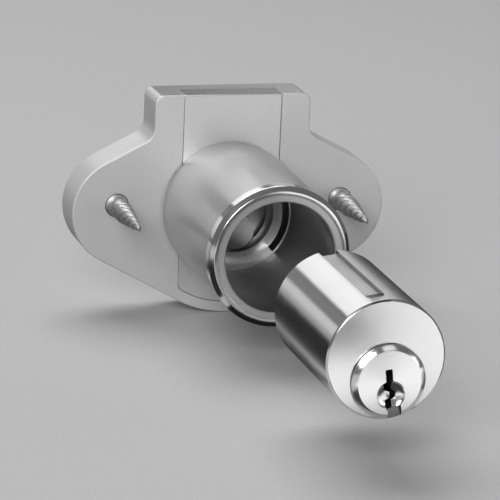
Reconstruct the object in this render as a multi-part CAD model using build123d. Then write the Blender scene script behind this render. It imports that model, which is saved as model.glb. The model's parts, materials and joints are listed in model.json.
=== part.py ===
from build123d import *
import math
import os

# Drawer lock with a removable round pin-tumbler cylinder, in millimetres.
# Origin: where the barrel's axis meets the mounting face. -Y points out of the drawer
# front towards the user, +Z is the way the bolt rises, +X is to the right seen from the front.

# Case casting
case_thickness = 10.5
case_top = 24.2
case_bottom = 22.4
ear_reach = 33.4
ear_radius = 11.5
ear_drop = 0.2
neck_width = 33.2
shoulder_height = 15.4
shoulder_fillet = 3.4
top_corner_radius = 1.8
bottom_radius = 20.6
case_front_round = 0.35
case_back_round = 1.4
foot_relief_inset = 0.3
foot_relief_outset = 0.5
foot_relief_depth = 0.3

# Cutters run this far past the faces that they open
overcut = 1.0

# Bolt and its channel in the mounting face
bolt_width = 20.7
bolt_thickness = 5.85
bolt_throw = 9.5
bolt_face_gap = 0.08
channel_gap = 0.12
channel_floor_wall = 2.2
channel_corner_radius = 2.0
bolt_edge_round = 0.4

# Barrel, its end wall and the trim ring round its nose
barrel_wall = 2.87
barrel_length = 38.1
bore_clearance = 0.08
end_wall = 6.4
end_floor = 2.6
window_margin = 0.23
window_width = 1.5
window_half_angle = 45.0
window_depth = 4.9
cone_land = 0.1
cone_width = 1.5
cone_depth = 1.1
step_width = 1.1
step_depth = 2.4
nose_wall = 1.35
ring_lip = 0.25
ring_length = 3.2
ring_chamfer = 0.9
ring_fit = 0.02
mouth_chamfer = 0.25

# Screws that hold the barrel from the back of the case
barrel_screw_diameter = 2.0
barrel_screw_head = 3.9
barrel_screw_bite = 3.6
barrel_screw_inset = 1.47
barrel_screw_angle = 18.8
barrel_screw_gap = 0.1
barrel_screw_hole_spare = 0.4
barrel_screw_slot_width = 0.4
barrel_screw_slot_length = 1.8
barrel_screw_slot_depth = 0.5

# Wood screws through the ears
wood_screw_outset = 2.1
wood_screw_height = 1.3
wood_screw_shank = 4.7
wood_screw_thread = 4.2
wood_screw_head = 8.2
wood_screw_head_depth = 2.3
wood_screw_reach = 18.5
wood_screw_taper = 8.5
wood_screw_tip = 0.8
wood_screw_hole_gap = 0.15
cross_slot_width = 1.1
cross_slot_length = 4.9
cross_slot_depth = 1.7

# Guide key in the top of the bore
key_width = 3.0
key_length = 20.0
key_seat = 1.3
key_start = 12.0
key_clearance = 0.35

# Removable cylinder, drawn out of the barrel at rest. The cylinder, its guide key and the
# driver stand turned by cylinder_turn, anticlockwise seen from the front.
cylinder_turn = 7.5
cylinder_diameter = 22.5
cylinder_length = 33.3
withdrawn_gap = 34.0
home_gap = 0.1
cylinder_chamfer = 0.35
cylinder_end_wall = 1.2
groove_width = 3.4
groove_depth = 1.0
groove_land = 2.3
groove_ramp_length = 4.6
groove_ramp_rise = 0.65
cover_width = 3.9
cover_thickness = 1.0
cover_fit = 0.02

# Plug, turning in the cylinder below its centre
plug_floor_wall = 0.9
plug_diameter = 12.7
plug_clearance = 0.05
head_flange = 0.6
head_height = 1.2
head_bevel = 0.95
head_bevel_drop = 0.6
neck_diameter = 6.4
tail_reach = 2.55
tail_dog = 1.35
dog_gap = 0.06
keyway_depth = 29.5
dimple_diameter = 5.4
dimple_floor_diameter = 2.7
dimple_depth = 0.8
dimple_drop = 2.4
head_notch_width = 2.6
head_notch_shift = 0.45
head_notch_start = 4.6
head_notch_floor = 0.3
clip_diameter = 7.8
clip_thickness = 0.6
clip_gap = 0.06
clip_groove_depth = 0.5
clip_mouth = 4.2

# Corners of the warded keyway from the plug's centre, across and up, down its right side
# and back up its left
keyway_right = ((0.66, 2.5), (0.66, 0.1), (0.33, -0.3), (0.33, -1.6),
                (1.06, -1.9), (1.06, -3.1), (0.2, -3.4), (0.2, -5.1))
keyway_left = ((-1.12, -5.1), (-1.12, -3.4), (-0.07, -3.0), (-0.07, -1.9),
               (-1.12, -1.5), (-1.12, -0.2), (-0.66, 0.2), (-0.66, 2.5))

# Pin stacks
pin_count = 6
pin_pitch = 3.96
first_pin = 6.2
pin_diameter = 2.9
chamber_diameter = 3.0
pin_edge = 0.3
shear_gap = 0.08
driver_pin_length = 3.75
shortest_key_pin = 3.6
key_pin_step = 0.38
key_pin_foot = 0.87
pin_cuts = (2, 5, 1, 4, 0, 3)
spring_diameter = 2.6
spring_wall = 0.35
spring_seat = 0.04

# Driver, crank and crank pin
driver_diameter = 7.8
driver_head = 1.25
driver_dog = 1.4
driver_float = 0.05
spindle_diameter = 4.0
spindle_clearance = 0.05
square_size = 2.8
square_fit = 0.03
crank_thickness = 2.2
crank_gap = 0.15
crank_hub_diameter = 6.0
crank_end_diameter = 4.0
crank_pin_diameter = 2.5
crank_pin_gap = 0.35
crank_turn = 90.0
crank_screw_shank = 1.8
crank_screw_head = 4.5
crank_screw_head_depth = 0.8
crank_screw_length = 3.2
crank_screw_hole_spare = 0.3
crank_screw_slot_width = 0.5
crank_screw_slot_depth = 0.4
pocket_gap = 0.25

# Places worked out from the sizes above
cylinder_radius = cylinder_diameter / 2
bore_radius = cylinder_radius + bore_clearance
barrel_radius = bore_radius + barrel_wall
nose_radius = bore_radius + nose_wall
ring_radius = barrel_radius + ring_lip
window_outer = bore_radius - window_margin
window_inner = window_outer - window_width
cone_radius = window_inner - cone_land
recess_radius = cone_radius - cone_width
step_radius = recess_radius - step_width
barrel_screw_x = (barrel_radius - barrel_screw_inset) * math.cos(math.radians(barrel_screw_angle))
barrel_screw_z = (barrel_radius - barrel_screw_inset) * math.sin(math.radians(barrel_screw_angle))
ear_x = ear_reach - ear_radius
channel_depth = bolt_face_gap + bolt_thickness + channel_gap
bolt_front = bolt_face_gap
bolt_back = bolt_face_gap + bolt_thickness
cylinder_rear = -(barrel_length + withdrawn_gap)
cylinder_face = cylinder_rear - cylinder_length
cylinder_travel = barrel_length + withdrawn_gap - end_wall - home_gap
plug_radius = plug_diameter / 2
plug_z = plug_floor_wall + plug_radius - cylinder_radius
driver_x = -plug_z * math.sin(math.radians(cylinder_turn))
driver_z = plug_z * math.cos(math.radians(cylinder_turn))
head_radius = plug_radius + head_flange
crank_radius = bolt_throw / 2 / math.sin(math.radians(crank_turn / 2))
crank_pin_x = driver_x + crank_radius * math.cos(math.radians(crank_turn / 2))
crank_pin_z = driver_z - bolt_throw / 2
crank_front = crank_gap
crank_back = crank_gap + crank_thickness
cover_top = cylinder_radius - groove_depth
cover_bottom = cover_top - cover_thickness
tail_end = cylinder_rear + tail_reach
wood_screw_x = ear_x + wood_screw_outset


def y_cylinder(radius, y_from, y_to, x=0.0, z=0.0):
    """Round bar along Y."""
    middle = Pos(x, (y_from + y_to) / 2, z)
    return middle * Rot(X=90) * Cylinder(radius, y_to - y_from)


def y_cone(radius_from, radius_to, y_from, y_to, x=0.0, z=0.0):
    """Tapered bar along Y, given by its radius at each end."""
    middle = Pos(x, (y_from + y_to) / 2, z)
    return middle * Rot(X=90) * Cone(radius_to, radius_from, y_to - y_from)


def z_cylinder(radius, z_from, z_to, x=0.0, y=0.0):
    """Round bar along Z."""
    return Pos(x, y, (z_from + z_to) / 2) * Cylinder(radius, z_to - z_from)


def block(x_from, x_to, y_from, y_to, z_from, z_to):
    """Rectangular block between two corners."""
    centre = Pos((x_from + x_to) / 2, (y_from + y_to) / 2, (z_from + z_to) / 2)
    return centre * Box(x_to - x_from, y_to - y_from, z_to - z_from)


def prism(face, y_from, y_to):
    """A flat outline, drawn with X and Z, made solid between two Y planes."""
    return extrude(Plane.XZ.offset(-y_to) * face, amount=y_to - y_from)


def turned(shape):
    """A shape built upright, turned with the cylinder about the barrel's axis."""
    return Rot(Y=-cylinder_turn) * shape


def closed_face(edges):
    """Face inside a closed chain of edges drawn in the XY plane."""
    return make_face(Wire(edges))


def closed_polygon(corners):
    """Face with straight sides through its corners, in order."""
    count = len(corners)
    return closed_face([Line(corners[i], corners[(i + 1) % count]) for i in range(count)])


def unit(angle):
    """Unit vector at an angle in radians."""
    return Vector(math.cos(angle), math.sin(angle))


def tangent_normal(centre_a, radius_a, centre_b, radius_b, side):
    """Outward normal of the straight line that touches two circles on one side."""
    across = centre_b - centre_a
    lean = math.acos((radius_a - radius_b) / across.length)
    return unit(math.atan2(across.Y, across.X) + side * lean)


def flip(point):
    """Mirror image of a point across the case's middle."""
    return Vector(-point.X, point.Y)


def case_outline():
    """Bell-shaped outline: neck, two round ears and a rounded foot."""
    ear = Vector(ear_x, -ear_drop)
    foot = Vector(0, bottom_radius - case_bottom)
    shoulder = Vector(neck_width / 2, shoulder_height)
    corner = Vector(neck_width / 2, case_top)
    upper = ear + tangent_normal(ear, ear_radius, shoulder, 0.0, -1) * ear_radius
    normal = tangent_normal(ear, ear_radius, foot, bottom_radius, 1)
    lower = ear + normal * ear_radius
    foot_side = foot + normal * bottom_radius
    tip = Vector(ear_reach, -ear_drop)
    low = Vector(0, -case_bottom)
    face = closed_face([
        Line(flip(corner), corner),
        Line(corner, shoulder),
        Line(shoulder, upper),
        ThreePointArc(upper, tip, lower),
        Line(lower, foot_side),
        ThreePointArc(foot_side, low, flip(foot_side)),
        Line(flip(foot_side), flip(lower)),
        ThreePointArc(flip(lower), flip(tip), flip(upper)),
        Line(flip(upper), flip(shoulder)),
        Line(flip(shoulder), flip(corner)),
    ])
    by_height = face.vertices().sort_by(Axis.Y)
    face = fillet(by_height[-2:], top_corner_radius)
    inner = [v for v in face.vertices() if (Vector(abs(v.X), v.Y) - shoulder).length < 0.01]
    return fillet(inner, shoulder_fillet)


def tongue_outline(half_width, foot_radius, top, corner_radius):
    """Straight-sided tongue whose foot follows the foot of the case."""
    centre_z = bottom_radius - case_bottom
    side_z = centre_z - math.sqrt(foot_radius ** 2 - half_width ** 2)
    top_right = Vector(half_width, top)
    low_right = Vector(half_width, side_z)
    low = Vector(0, centre_z - foot_radius)
    face = closed_face([
        Line(flip(top_right), top_right),
        Line(top_right, low_right),
        ThreePointArc(low_right, low, flip(low_right)),
        Line(flip(low_right), flip(top_right)),
    ])
    by_height = face.vertices().sort_by(Axis.Y)
    return fillet(by_height[:2], corner_radius)


def barrel_screw_places():
    """Centres of the four barrel screws, as x and z."""
    return [(sx * barrel_screw_x, sz * barrel_screw_z) for sx in (-1, 1) for sz in (-1, 1)]


def wood_screw_places():
    """Centres of the two wood screws, as x and z."""
    return [(side * wood_screw_x, wood_screw_height) for side in (-1, 1)]


def make_case():
    """Casting with the bolt channel open at the mounting face and at the top."""
    body = prism(case_outline(), 0, case_thickness)
    faces = body.faces().sort_by(Axis.Y)
    body = fillet(faces[-1].edges(), case_back_round)
    body = fillet(body.faces().sort_by(Axis.Y)[0].edges(), case_front_round)
    foot = bottom_radius - channel_floor_wall
    channel = tongue_outline(bolt_width / 2 + channel_gap, foot, case_top + channel_corner_radius + overcut,
                             channel_corner_radius)
    body -= prism(channel, -overcut, channel_depth)
    relief = y_cylinder(barrel_radius + foot_relief_outset, -overcut, foot_relief_depth)
    body -= relief - y_cylinder(barrel_radius - foot_relief_inset, -overcut, foot_relief_depth)
    head_radius = barrel_screw_head / 2 + barrel_screw_gap
    shank_radius = barrel_screw_diameter / 2 + barrel_screw_gap
    head_depth = head_radius - shank_radius
    for x, z in barrel_screw_places():
        body -= y_cylinder(shank_radius, -overcut, case_thickness + overcut, x, z)
        body -= y_cone(shank_radius, head_radius, case_thickness - head_depth, case_thickness, x, z)
    hole = wood_screw_shank / 2 + wood_screw_hole_gap
    sink = wood_screw_head / 2 + wood_screw_hole_gap
    for x, z in wood_screw_places():
        body -= y_cylinder(hole, -overcut, case_thickness + overcut, x, z)
        body -= y_cone(hole, sink, case_thickness - wood_screw_head_depth, case_thickness, x, z)
    return body


def make_barrel():
    """Tube with a solid end wall that stands on the mounting face across the channel."""
    outside = -barrel_length - overcut
    shoulder = ring_length - barrel_length
    body = y_cylinder(barrel_radius, -barrel_length, 0)
    seat = y_cylinder(barrel_radius + overcut, outside, shoulder)
    body -= seat - y_cylinder(nose_radius, outside, shoulder)
    body -= y_cylinder(bore_radius, outside, -end_wall)
    body -= y_cone(bore_radius + mouth_chamfer, bore_radius, -barrel_length, mouth_chamfer - barrel_length)
    cone_bottom = cone_depth - end_wall
    body -= y_cone(cone_radius, recess_radius, -end_wall, cone_bottom)
    body -= y_cylinder(recess_radius, cone_bottom, step_depth - end_wall)
    body -= y_cylinder(step_radius, step_depth - end_wall, -end_floor)
    body -= y_cylinder(driver_diameter / 2 + 2 * driver_float, -end_wall, -end_floor, driver_x, driver_z)
    spindle_hole = spindle_diameter / 2 + spindle_clearance
    body -= y_cylinder(spindle_hole, -end_floor - overcut, overcut, driver_x, driver_z)
    body -= arc_window()
    for x, z in barrel_screw_places():
        body -= y_cylinder(barrel_screw_diameter / 2, -barrel_screw_bite - barrel_screw_hole_spare,
                           overcut, x, z)
    body -= key_block()
    return body


def arc_window():
    """Arc-shaped slot in the end wall, on the right just inside the bore."""
    ring = y_cylinder(window_outer, -end_wall - overcut, window_depth - end_wall)
    ring -= y_cylinder(window_inner, -end_wall - overcut, window_depth - end_wall)
    reach = 2 * barrel_radius
    rise = reach * math.tan(math.radians(window_half_angle))
    wedge = closed_polygon([Vector(0, 0), Vector(reach, -rise), Vector(reach, rise)])
    return ring & prism(wedge, -end_wall - overcut, 0)


def make_trim_ring():
    """Collar round the nose of the barrel, with a wide bevel on its front edge."""
    back = ring_length - barrel_length
    body = y_cylinder(ring_radius, ring_chamfer - barrel_length, back)
    body += y_cone(ring_radius - ring_chamfer, ring_radius,
                   -barrel_length, ring_chamfer - barrel_length)
    return body - y_cylinder(nose_radius + ring_fit, -barrel_length - overcut, back + overcut)


def make_barrel_screw(x, z):
    """Countersunk screw from the back of the case into the barrel's end wall."""
    radius = barrel_screw_diameter / 2
    head_radius = barrel_screw_head / 2
    head_depth = head_radius - radius
    neck = case_thickness - head_depth
    body = y_cylinder(radius, -barrel_screw_bite, neck, x, z)
    body += y_cone(radius, head_radius, neck, case_thickness, x, z)
    length = barrel_screw_slot_length / 2
    width = barrel_screw_slot_width / 2
    floor = case_thickness - barrel_screw_slot_depth
    return body - block(x - length, x + length, floor, case_thickness + overcut, z - width, z + width)


def make_wood_screw(x, z):
    """Countersunk wood screw with a cross recess, a plain shank and a tapered point."""
    shank = wood_screw_shank / 2
    thread = wood_screw_thread / 2
    neck = case_thickness - wood_screw_head_depth
    taper_start = wood_screw_taper - wood_screw_reach
    body = y_cylinder(shank, 0, neck, x, z)
    body += y_cone(shank, wood_screw_head / 2, neck, case_thickness, x, z)
    body += y_cylinder(thread, taper_start, 0, x, z)
    body += y_cone(wood_screw_tip / 2, thread, -wood_screw_reach, taper_start, x, z)
    arm = cross_slot_length / 2
    half = cross_slot_width / 2
    floor = case_thickness - cross_slot_depth
    above = case_thickness + overcut
    slots = block(x - arm, x + arm, floor, above, z - half, z + half)
    slots += block(x - half, x + half, floor, above, z - arm, z + arm)
    return body - slots


def key_block():
    """Feather key with round ends, in a pocket in the top of the bore."""
    key_bottom = cover_top + key_clearance
    key_top = bore_radius + key_seat
    length = key_length - key_width
    y_far = -key_start - key_width / 2
    y_near = y_far - length
    body = block(-key_width / 2, key_width / 2, y_near, y_far, key_bottom, key_top)
    for y in (y_near, y_far):
        body += z_cylinder(key_width / 2, key_bottom, key_top, 0, y)
    return turned(body)


def make_bolt():
    """Square bolt with a front pocket for the crank and a cross slot for its pin."""
    foot = bottom_radius - channel_floor_wall - channel_gap
    body = prism(tongue_outline(bolt_width / 2, foot, case_top, channel_corner_radius),
                 bolt_front, bolt_back)
    body = fillet(body.faces().sort_by(Axis.Z)[-1].edges(), bolt_edge_round)
    hub = crank_hub_diameter / 2 + pocket_gap
    pocket_floor = crank_back + pocket_gap
    hub_low = driver_z - bolt_throw
    for z in (driver_z, hub_low):
        body -= y_cylinder(hub, -overcut, pocket_floor, driver_x, z)
    body -= block(driver_x - hub, driver_x + hub, -overcut, pocket_floor, hub_low, driver_z)
    arm_reach = driver_x + crank_radius + crank_end_diameter / 2 + pocket_gap
    arm_margin = crank_hub_diameter / 2 * math.sin(math.radians(crank_turn / 4)) + pocket_gap
    body -= block(driver_x, arm_reach, -overcut, pocket_floor, hub_low - arm_margin, driver_z + arm_margin)
    slot = crank_pin_diameter / 2 + crank_pin_gap
    slot_end = driver_x + crank_radius
    for x in (crank_pin_x, slot_end):
        body -= y_cylinder(slot, -overcut, bolt_back + overcut, x, crank_pin_z)
    return body - block(crank_pin_x, slot_end, -overcut, bolt_back + overcut,
                        crank_pin_z - slot, crank_pin_z + slot)


def square_bar(size, y_from, y_to):
    """Square bar along Y on the driver's axis."""
    half = size / 2
    return block(driver_x - half, driver_x + half, y_from, y_to, driver_z - half, driver_z + half)


def make_driver():
    """Round driver with a half-moon dog in front and a square at the back for the crank."""
    head_back = -end_floor - driver_float
    head_front = head_back - driver_head
    radius = driver_diameter / 2
    body = y_cylinder(radius, head_front, head_back, driver_x, driver_z)
    dog = y_cylinder(radius, head_front - driver_dog, head_front)
    dog &= block(-radius, radius, head_front - driver_dog, head_front, dog_gap, radius)
    body += Pos(driver_x, 0, driver_z) * turned(dog)
    square_end = crank_back - crank_screw_head_depth
    body += y_cylinder(spindle_diameter / 2, head_back, crank_front, driver_x, driver_z)
    body += square_bar(square_size, crank_front, square_end)
    hole_end = square_end - crank_screw_length - crank_screw_hole_spare
    return body - y_cylinder(crank_screw_shank / 2, hole_end, square_end + overcut, driver_x, driver_z)


def make_crank():
    """Crank arm, square-holed at its hub and bored for the crank pin."""
    hub = y_cylinder(crank_hub_diameter / 2, crank_front, crank_back, driver_x, driver_z)
    end = y_cylinder(crank_end_diameter / 2, crank_front, crank_back, crank_pin_x, crank_pin_z)
    hub_centre = Vector(driver_x, driver_z)
    end_centre = Vector(crank_pin_x, crank_pin_z)
    points = []
    for side in (1, -1):
        normal = tangent_normal(hub_centre, crank_hub_diameter / 2,
                                end_centre, crank_end_diameter / 2, side)
        touch = [hub_centre + normal * (crank_hub_diameter / 2),
                 end_centre + normal * (crank_end_diameter / 2)]
        points += touch[::side]
    body = hub + end + prism(closed_polygon(points), crank_front, crank_back)
    square_end = crank_back - crank_screw_head_depth
    body -= square_bar(square_size + 2 * square_fit, crank_front - overcut, square_end)
    body -= y_cylinder(crank_screw_head / 2 + square_fit, square_end, crank_back + overcut, driver_x, driver_z)
    return body - y_cylinder(crank_pin_diameter / 2, crank_front - overcut, crank_back + overcut,
                             crank_pin_x, crank_pin_z)


def make_crank_pin():
    """Pin pressed into the crank arm, running in the bolt's cross slot."""
    return y_cylinder(crank_pin_diameter / 2, crank_front, bolt_back - crank_pin_gap,
                      crank_pin_x, crank_pin_z)


def make_crank_screw():
    """Low-headed screw that holds the crank on the driver's square."""
    square_end = crank_back - crank_screw_head_depth
    body = y_cylinder(crank_screw_shank / 2, square_end - crank_screw_length, square_end, driver_x, driver_z)
    body += y_cylinder(crank_screw_head / 2, square_end, crank_back - square_fit, driver_x, driver_z)
    width = crank_screw_slot_width / 2
    return body - block(driver_x - crank_screw_head, driver_x + crank_screw_head,
                        crank_back - crank_screw_slot_depth, crank_back + overcut,
                        driver_z - width, driver_z + width)


def pin_places():
    """Y of each pin stack, from the face towards the rear."""
    return [cylinder_face + first_pin + i * pin_pitch for i in range(pin_count)]


def groove_cutter(width, z_from, z_to):
    """Straight cut along the top, open at the rear and round at its front end."""
    front = cylinder_face + groove_land + width / 2
    cutter = block(-width / 2, width / 2, front, cylinder_rear + overcut, z_from, z_to)
    return cutter + z_cylinder(width / 2, z_from, z_to, 0, front)


def ramped_groove_cutter():
    """The top groove: its floor climbs towards the round front end."""
    front = cylinder_face + groove_land - overcut
    rear = cylinder_rear + 2 * overcut
    ramp_start = cylinder_face + groove_land + groove_ramp_length
    ramp_top = cover_top + groove_ramp_rise / groove_ramp_length * (ramp_start - front)
    above = cylinder_radius + 2 * overcut
    corners = [Vector(rear, cover_top), Vector(ramp_start, cover_top), Vector(front, ramp_top),
               Vector(front, above), Vector(rear, above)]
    side = closed_polygon(corners)
    profile = extrude(Plane.YZ.offset(-groove_width) * side, amount=2 * groove_width)
    return groove_cutter(groove_width, cover_top, cylinder_radius + overcut) & profile


def make_cylinder_shell():
    """Round shell with the plug bore, pin chambers, cover seat and top groove."""
    body = y_cylinder(cylinder_radius, cylinder_face, cylinder_rear)
    rims = body.edges().filter_by(GeomType.CIRCLE)
    body = chamfer(rims, cylinder_chamfer)
    bore = plug_radius + plug_clearance
    body -= y_cylinder(bore, cylinder_face - overcut, cylinder_rear - cylinder_end_wall, 0, plug_z)
    neck = neck_diameter / 2 + plug_clearance
    body -= y_cylinder(neck, cylinder_face, cylinder_rear + overcut, 0, plug_z)
    body -= ramped_groove_cutter()
    body -= groove_cutter(cover_width, cover_bottom, cover_top)
    for y in pin_places():
        body -= z_cylinder(chamber_diameter / 2, plug_z, cover_bottom + cover_thickness / 2, 0, y)
    return body


def make_spring_cover():
    """Strip slid into the groove over the springs."""
    body = groove_cutter(cover_width - 2 * cover_fit, cover_bottom, cover_top - cover_fit)
    return body & block(-cover_width, cover_width, cylinder_face, cylinder_rear - cover_fit,
                        cover_bottom, cover_top)


def make_driver_pin(y):
    """Upper pin, resting just above the shear line."""
    bottom = plug_z + plug_radius + shear_gap
    body = z_cylinder(pin_diameter / 2, bottom, bottom + driver_pin_length, 0, y)
    return chamfer(body.edges().filter_by(GeomType.CIRCLE), pin_edge)


def make_pin_spring(y):
    """Sleeve the size of the closed coil spring above a driver pin."""
    bottom = plug_z + plug_radius + shear_gap + driver_pin_length + spring_seat
    top = cover_bottom - spring_seat
    body = z_cylinder(spring_diameter / 2, bottom, top, 0, y)
    return body - z_cylinder(spring_diameter / 2 - spring_wall, bottom - overcut, top + overcut, 0, y)


def make_key_pin(y, cut):
    """Lower pin with a pointed foot, its top just below the shear line."""
    radius = pin_diameter / 2
    top = plug_z + math.sqrt(plug_radius ** 2 - radius ** 2) - shear_gap
    bottom = top - shortest_key_pin - cut * key_pin_step
    body = z_cylinder(radius, bottom + key_pin_foot, top, 0, y)
    body += Pos(0, y, bottom + key_pin_foot / 2) * Cone(radius - key_pin_foot, radius, key_pin_foot)
    return body


def keyway_outline():
    """Warded keyway, stepping from side to side down the plug's face."""
    return closed_polygon([Vector(x, plug_z + z) for x, z in keyway_right + keyway_left])


def make_plug():
    """Turning plug: bevelled head, keyway, pin chambers, neck and half-moon tail."""
    head_front = cylinder_face - plug_clearance - head_height
    head_back = cylinder_face - plug_clearance
    bevel_back = head_front + head_bevel_drop
    body = y_cylinder(head_radius, bevel_back, head_back, 0, plug_z)
    body += y_cone(head_radius - head_bevel, head_radius, head_front, bevel_back, 0, plug_z)
    plug_back = cylinder_rear - cylinder_end_wall - plug_clearance
    body += y_cylinder(plug_radius, head_back, plug_back, 0, plug_z)
    neck = neck_diameter / 2
    dog_start = tail_end - tail_dog
    body += y_cylinder(neck, plug_back, dog_start, 0, plug_z)
    tail = y_cylinder(neck, dog_start, tail_end, 0, plug_z)
    tail &= block(-neck, neck, dog_start, tail_end, plug_z - neck, plug_z - dog_gap)
    body += tail
    body -= prism(keyway_outline(), head_front - overcut, cylinder_face + keyway_depth)
    body -= y_cone(dimple_diameter / 2, dimple_floor_diameter / 2, head_front, head_front + dimple_depth,
                   0, plug_z - dimple_drop)
    notch = head_notch_width / 2
    body -= block(head_notch_shift - notch, head_notch_shift + notch,
                  head_front - overcut, head_back - head_notch_floor,
                  plug_z - head_radius - overcut, plug_z - head_notch_start)
    for y in pin_places():
        body -= z_cylinder(chamber_diameter / 2, plug_z, plug_z + plug_radius + overcut, 0, y)
    groove_front = cylinder_rear + plug_clearance
    groove_back = groove_front + clip_thickness + clip_gap
    groove = y_cylinder(neck + overcut, groove_front, groove_back, 0, plug_z)
    return body - (groove - y_cylinder(neck - clip_groove_depth, groove_front, groove_back, 0, plug_z))


def make_plug_clip():
    """Open spring clip in the neck's groove, behind the shell's end wall."""
    front = cylinder_rear + plug_clearance + clip_gap / 2
    back = front + clip_thickness
    inner = neck_diameter / 2 - clip_groove_depth + clip_gap / 2
    body = y_cylinder(clip_diameter / 2, front, back, 0, plug_z)
    body -= y_cylinder(inner, front - overcut, back + overcut, 0, plug_z)
    return body - block(-clip_mouth / 2, clip_mouth / 2, front - overcut, back + overcut,
                        plug_z - clip_diameter, plug_z)


def cylinder_parts():
    """Nodes of the removable cylinder, built upright and turned into place."""
    nodes = {
        "cylinder_shell": make_cylinder_shell(),
        "spring_cover": make_spring_cover(),
        "plug": make_plug(),
        "plug_clip": make_plug_clip(),
    }
    for number, (y, cut) in enumerate(zip(pin_places(), pin_cuts), start=1):
        nodes[f"driver_pin_{number}"] = make_driver_pin(y)
        nodes[f"pin_spring_{number}"] = make_pin_spring(y)
        nodes[f"key_pin_{number}"] = make_key_pin(y, cut)
    return {name: [turned(solid)] for name, solid in nodes.items()}


def make_parts():
    """Every node by name, as a list of its separate solids."""
    return {
        "case": [make_case()],
        "barrel": [make_barrel()],
        "trim_ring": [make_trim_ring()],
        "barrel_screws": [make_barrel_screw(x, z) for x, z in barrel_screw_places()],
        "wood_screw_left": [make_wood_screw(*wood_screw_places()[0])],
        "wood_screw_right": [make_wood_screw(*wood_screw_places()[1])],
        "guide_key": [key_block()],
        "bolt": [make_bolt()],
        "driver": [make_driver()],
        "crank": [make_crank()],
        "crank_pin": [make_crank_pin()],
        "crank_screw": [make_crank_screw()],
        **cylinder_parts(),
    }


def write_parts():
    """Write one STEP file for each node."""
    os.makedirs("parts", exist_ok=True)
    for name, solids in make_parts().items():
        shape = solids[0] if len(solids) == 1 else Compound(children=solids)
        export_step(shape, f"parts/{name}.step")
        print(name, "volume", round(sum(solid.volume for solid in solids), 2))
    print("crank radius", round(crank_radius, 3), "cylinder travel", round(cylinder_travel, 3))


write_parts()
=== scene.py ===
import json
import logging
import math
from dataclasses import dataclass, field
from enum import Enum
from typing import Callable, Iterable, Sequence

import bpy
from mathutils import Euler, Matrix, Vector


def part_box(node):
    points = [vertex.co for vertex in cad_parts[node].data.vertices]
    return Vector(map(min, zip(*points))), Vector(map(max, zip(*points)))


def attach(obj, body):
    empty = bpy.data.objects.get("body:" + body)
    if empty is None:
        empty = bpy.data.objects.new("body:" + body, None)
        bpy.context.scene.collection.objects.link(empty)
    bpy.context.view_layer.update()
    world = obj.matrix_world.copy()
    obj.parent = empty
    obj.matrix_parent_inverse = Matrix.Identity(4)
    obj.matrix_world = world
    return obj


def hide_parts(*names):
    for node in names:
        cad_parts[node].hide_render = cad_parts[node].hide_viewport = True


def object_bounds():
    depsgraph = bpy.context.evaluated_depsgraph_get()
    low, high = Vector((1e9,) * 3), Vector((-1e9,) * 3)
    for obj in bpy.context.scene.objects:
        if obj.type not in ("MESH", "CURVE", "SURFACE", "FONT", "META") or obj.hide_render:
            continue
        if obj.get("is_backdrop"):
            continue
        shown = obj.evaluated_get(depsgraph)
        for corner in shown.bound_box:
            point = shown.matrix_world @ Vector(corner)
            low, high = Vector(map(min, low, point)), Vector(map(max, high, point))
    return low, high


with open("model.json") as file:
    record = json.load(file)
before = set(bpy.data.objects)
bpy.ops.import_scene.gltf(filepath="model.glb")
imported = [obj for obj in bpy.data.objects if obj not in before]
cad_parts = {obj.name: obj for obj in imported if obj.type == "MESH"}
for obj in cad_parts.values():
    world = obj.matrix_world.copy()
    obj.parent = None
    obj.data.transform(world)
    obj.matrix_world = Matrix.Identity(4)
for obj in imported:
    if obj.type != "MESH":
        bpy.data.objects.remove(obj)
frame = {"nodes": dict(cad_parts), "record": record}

# Looks for the drawer lock: metal finishes, turned and cut pieces with fine edges, wood screws with
# real threads, a plain studio and the camera. Lengths are in metres, in the frame of the packed
# model, and angles in degrees. A centre is the x and z of an axis that lies along Y. The cylinder,
# its plug and the driver are modelled upright and then leant as they stand in the lock.

LOG = logging.getLogger("drawer_lock")
MM = 0.001
Piece = bpy.types.Object
Material = bpy.types.Material
Socket = bpy.types.NodeSocket
Pair = tuple[float, float]
Triple = tuple[float, float, float]
Colour = Triple
Profile = Sequence[Pair]
FaceTest = Callable[[Vector, Vector], bool]


class Body(Enum):
    """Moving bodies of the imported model."""

    CASE = "case"
    BOLT = "bolt"
    DRIVER = "driver"
    CYLINDER = "cylinder"
    PLUG = "plug"


class Grain(Enum):
    """How a metal surface was worked."""

    TURNED = "turned"
    DRAWN = "drawn"
    CAST = "cast"
    TUMBLED = "tumbled"


class Boolean(Enum):
    """What is left of a piece and a tool."""

    CUT = "DIFFERENCE"
    JOIN = "UNION"
    SHARE = "INTERSECT"


# Finishes

# Mottle and specks of every finish, and how much of each goes into its tone and roughness.
MOTTLE_SIZE = 9 * MM
SPECK_SIZE = 0.16 * MM
GRAIN_IN_TONE, MOTTLE_IN_TONE, SPECK_IN_TONE = 0.45, 0.35, 0.20
GRAIN_IN_ROUGHNESS, MOTTLE_IN_ROUGHNESS = 0.4, 0.6
SPECK_DEPTH = 0.3
# How far the milled tops' tone drops on the ramp, as painted shade that darkens them, and what
# milling takes off the roughness.
MACHINED_SHADE_TONE, MILLED_ROUGHNESS = -0.6, -0.14
# Range in which noise varies, and the place of a ramp's third tone below it.
NOISE_RANGE = (0.3, 0.7)
FOOT_PLACE = 0.1
# How squarely a normal looks along Y where an end face begins and where it is full.
END_FACE_RANGE = (0.88, 0.98)
LINE_DETAIL = 3.0
ALONG_THE_GRAIN = (1.0, 0.04, 1.0)
QUARTER_TURN = 0.25
BLACK = (0.0, 0.0, 0.0, 1.0)
WHITE = (1.0, 1.0, 1.0, 1.0)


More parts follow.
